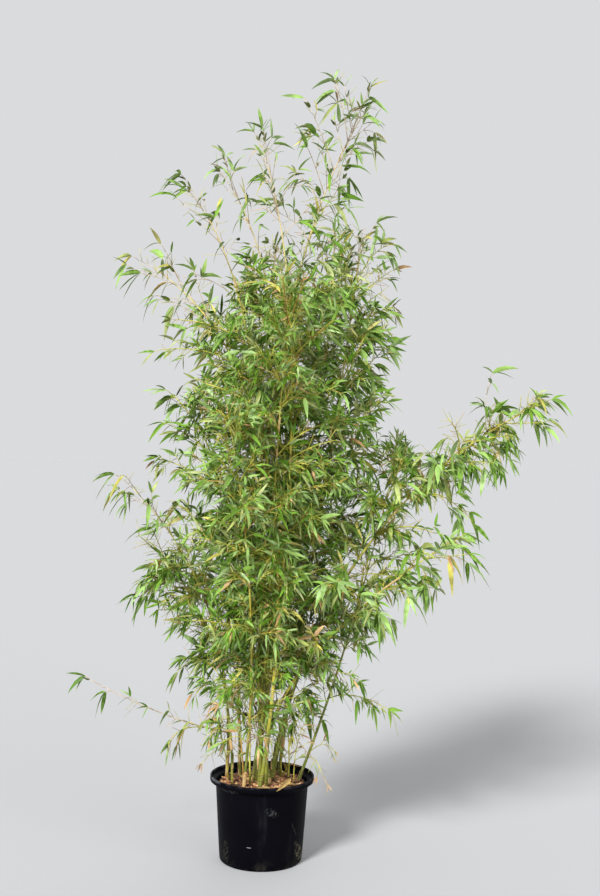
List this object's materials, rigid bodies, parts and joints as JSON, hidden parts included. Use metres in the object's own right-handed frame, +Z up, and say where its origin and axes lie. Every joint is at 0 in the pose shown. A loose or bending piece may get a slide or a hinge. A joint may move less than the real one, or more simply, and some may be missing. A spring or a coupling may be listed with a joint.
{
  "type": "potted bamboo",
  "caption": "Tall clump of thin arching bamboo culms with narrow leaves in sprays, growing from bark chips in a round black nursery pot with a rolled rim.",
  "frame": {"origin": "middle of the pot's flat underside, which the plant stands on", "axes": "+Z up; the widest view looks along +Y, with the long leaning culms towards +X"},
  "size_m": [1.6819, 0.973, 2.5936],
  "materials": {
    "pot": "satin",
    "bark": "rough bark chips",
    "culm": "smooth waxy cane",
    "foliage": "satin leaf"
  },
  "bodies": {
    "root": {"pot": "pot", "soil": "bark", "culm_tallest": "culm", "culm_second": "culm", "culm_upper_left": "culm", "culm_left_top": "culm", "culm_left_high": "culm", "culm_left_mid": "culm", "culm_left_low": "culm", "culm_left_sprawl": "culm", "culm_right_lean": "culm", "culm_right_arm": "culm", "culm_right_back": "culm", "culm_right_top": "culm", "culm_front": "culm", "culm_back": "culm", "culm_back_right": "culm", "culm_front_left": "culm", "tip_leaves_tallest": "foliage", "tip_leaves_second": "foliage", "tip_leaves_upper_left": "foliage", "tip_leaves_left_top": "foliage", "tip_leaves_left_high": "foliage", "tip_leaves_left_mid": "foliage", "tip_leaves_left_low": "foliage", "tip_leaves_left_sprawl": "foliage", "tip_leaves_right_lean": "foliage", "tip_leaves_right_arm": "foliage", "tip_leaves_right_back": "foliage", "tip_leaves_right_top": "foliage", "tip_leaves_front": "foliage", "tip_leaves_back": "foliage", "tip_leaves_back_right": "foliage", "tip_leaves_front_left": "foliage", "low_leaves_far_left": "foliage", "low_leaves_low_right": "foliage", "side_leaves_tallest_1": "foliage", "side_leaves_tallest_2": "foliage", "side_leaves_second_1": "foliage", "side_leaves_second_2": "foliage", "side_leaves_upper_left_1": "foliage", "side_leaves_upper_left_2": "foliage", "side_leaves_left_top_1": "foliage", "side_leaves_left_high_1": "foliage", "side_leaves_left_mid_1": "foliage", "side_leaves_left_low_1": "foliage", "side_leaves_right_lean_1": "foliage", "side_leaves_right_arm_1": "foliage", "side_leaves_right_arm_2": "foliage", "side_leaves_right_back_1": "foliage", "side_leaves_right_top_1": "foliage", "side_leaves_right_top_2": "foliage", "side_leaves_front_1": "foliage", "side_leaves_front_2": "foliage", "side_leaves_back_1": "foliage", "side_leaves_back_2": "foliage", "side_leaves_back_right_1": "foliage", "side_leaves_front_left_1": "foliage"}
  },
  "joints": []
}
